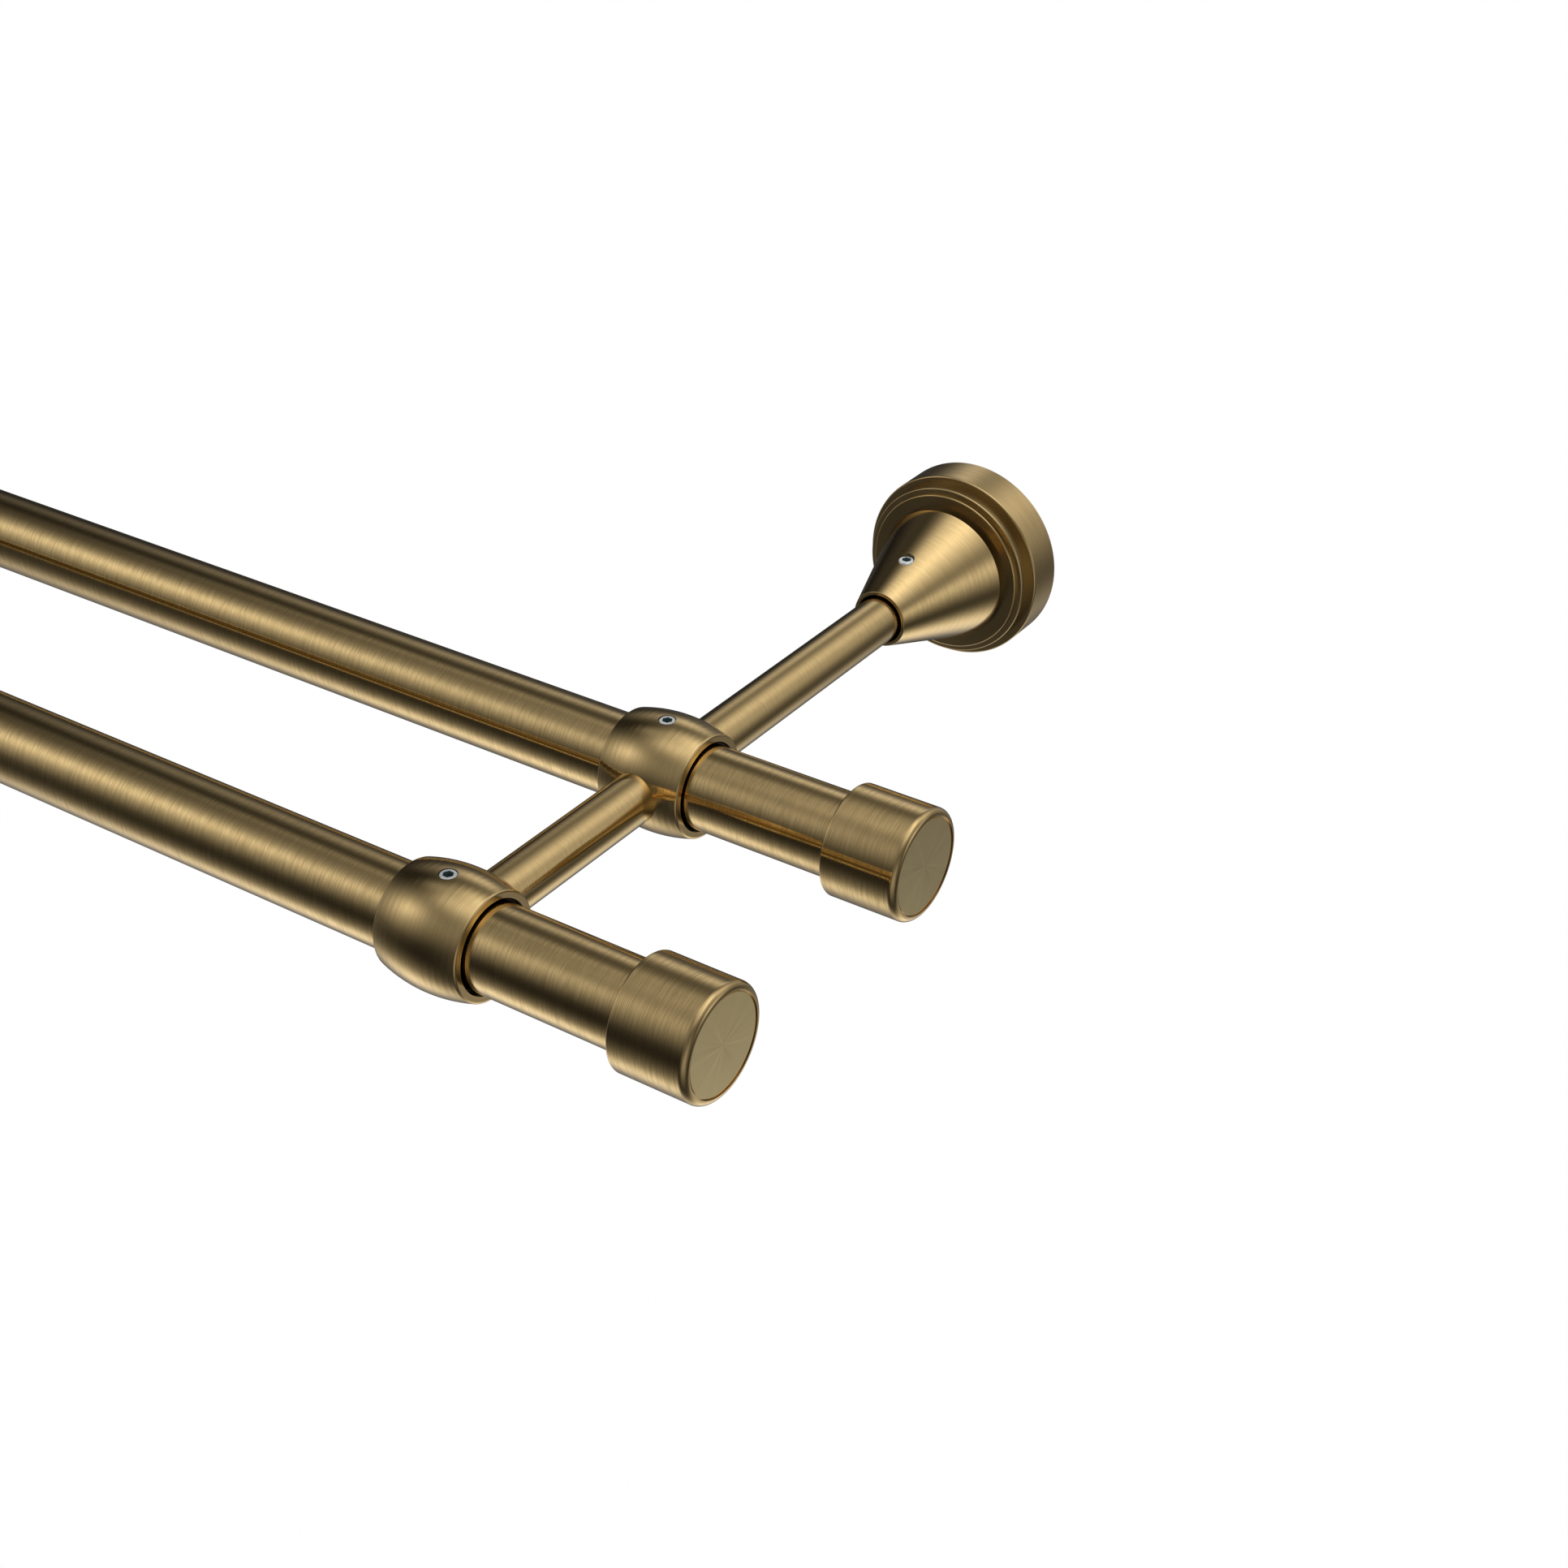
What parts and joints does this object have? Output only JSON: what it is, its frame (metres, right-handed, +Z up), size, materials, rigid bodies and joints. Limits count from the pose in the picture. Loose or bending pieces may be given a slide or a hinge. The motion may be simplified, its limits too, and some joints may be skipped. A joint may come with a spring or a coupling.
{
  "type": "curtain rod",
  "caption": "Curtain rod with parallel front and rear brushed brass tubes, plain end caps and barrel rings on arms that stand out from cones and stepped wall rosettes.",
  "frame": {"origin": "on the wall face, midway between the two brackets, at the height of the rods", "axes": "+X along the rods, +Y into the wall so that the rod stands out on -Y, +Z up"},
  "size_m": [1.008, 0.2275, 0.05],
  "materials": {
    "brushed_brass": "brushed round each axis, aged",
    "zinc_plated_steel": "plain zinc plate"
  },
  "bodies": {
    "root": {"front_rod": "brushed_brass", "rear_rod": "brushed_brass", "front_cap_left": "brushed_brass", "rear_cap_left": "brushed_brass", "front_ring_left": "brushed_brass", "rear_ring_left": "brushed_brass", "front_arm_left": "brushed_brass", "rear_arm_left": "brushed_brass", "cone_left": "brushed_brass", "rosette_left": "brushed_brass", "front_ring_grub_left": "zinc_plated_steel", "rear_ring_grub_left": "zinc_plated_steel", "cone_grub_left": "zinc_plated_steel", "front_ring_stud_left": "zinc_plated_steel", "middle_stud_left": "zinc_plated_steel", "rear_ring_stud_left": "zinc_plated_steel", "wall_plate_left": "zinc_plated_steel", "wall_stud_left": "zinc_plated_steel", "front_cap_right": "brushed_brass", "rear_cap_right": "brushed_brass", "front_ring_right": "brushed_brass", "rear_ring_right": "brushed_brass", "front_arm_right": "brushed_brass", "rear_arm_right": "brushed_brass", "cone_right": "brushed_brass", "rosette_right": "brushed_brass", "front_ring_grub_right": "zinc_plated_steel", "rear_ring_grub_right": "zinc_plated_steel", "cone_grub_right": "zinc_plated_steel", "front_ring_stud_right": "zinc_plated_steel", "middle_stud_right": "zinc_plated_steel", "rear_ring_stud_right": "zinc_plated_steel", "wall_plate_right": "zinc_plated_steel", "wall_stud_right": "zinc_plated_steel"}
  },
  "joints": []
}
